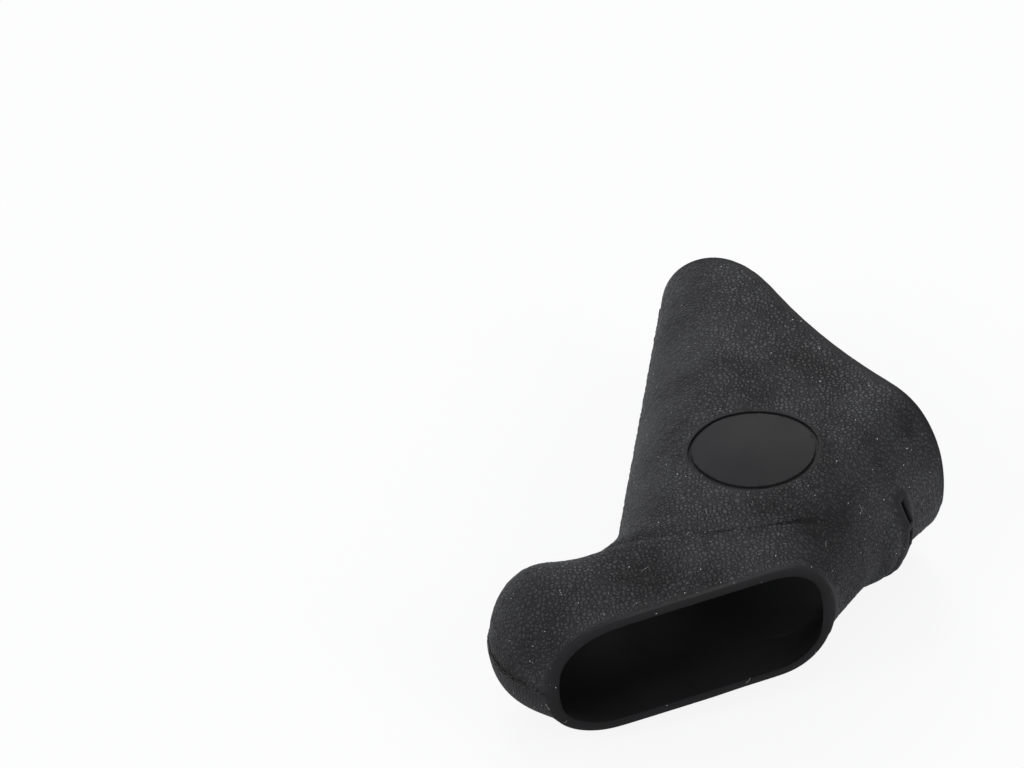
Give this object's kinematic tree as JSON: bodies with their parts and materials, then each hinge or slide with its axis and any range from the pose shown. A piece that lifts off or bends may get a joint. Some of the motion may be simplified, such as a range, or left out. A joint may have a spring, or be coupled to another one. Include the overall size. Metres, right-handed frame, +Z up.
{
  "type": "brake lever hood",
  "caption": "Moulded rubber hood with a raised horn, hollow through, that covers the body of a drop-bar brake lever.",
  "frame": {"origin": "middle of the bounding box, on the plane that the hood lies on", "axes": "+X forward along the palm rest, -Y towards the crown of the horn, +Z up to the side with the plain oval field"},
  "size_m": [0.1044, 0.0788, 0.0369],
  "materials": {
    "hood_rubber": "matt moulded rubber with a leather grain"
  },
  "bodies": {
    "root": {"lever_hood": "hood_rubber"}
  },
  "joints": []
}
